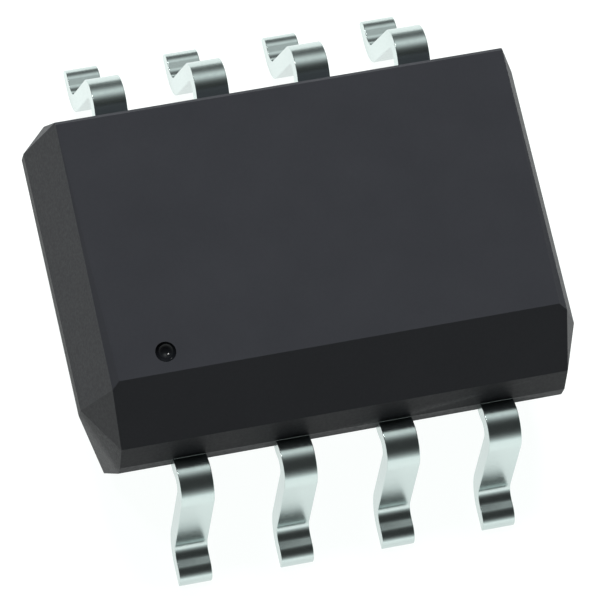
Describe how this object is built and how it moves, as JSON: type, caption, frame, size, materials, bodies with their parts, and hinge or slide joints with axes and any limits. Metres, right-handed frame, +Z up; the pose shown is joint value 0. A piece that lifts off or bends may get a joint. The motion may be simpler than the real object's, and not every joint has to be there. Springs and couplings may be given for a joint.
{
  "type": "small outline integrated circuit",
  "caption": "Surface-mount chip: dark moulded body with a bevel and a dimple on the pin-one side, and gull-wing leads along both long sides.",
  "frame": {"origin": "middle of the package on the plane of the feet's undersides, at the base", "axes": "+X along the lead rows from pin 1 towards pin 4, +Y from the pin 1 row towards the other row, +Z up out of the body's top face"},
  "size_m": [0.0062, 0.0068, 0.0025],
  "materials": {
    "mould_compound": "fine matt moulded epoxy with mineral filler",
    "tinned_lead": "matt electroplated tin over copper alloy",
    "frame_copper": "bare rolled copper alloy sheet",
    "die_adhesive": "cured silver-filled adhesive",
    "silicon": "polished silicon",
    "bond_gold": "bare drawn gold wire"
  },
  "bodies": {
    "root": {"mould_body": "mould_compound", "lead_1": "tinned_lead", "lead_2": "tinned_lead", "lead_3": "tinned_lead", "lead_4": "tinned_lead", "lead_5": "tinned_lead", "lead_6": "tinned_lead", "lead_7": "tinned_lead", "lead_8": "tinned_lead", "die_paddle": "frame_copper", "die_attach": "die_adhesive", "silicon_die": "silicon", "bond_wire_1": "bond_gold", "bond_wire_2": "bond_gold", "bond_wire_3": "bond_gold", "bond_wire_4": "bond_gold", "bond_wire_5": "bond_gold", "bond_wire_6": "bond_gold", "bond_wire_7": "bond_gold", "bond_wire_8": "bond_gold"}
  },
  "joints": []
}
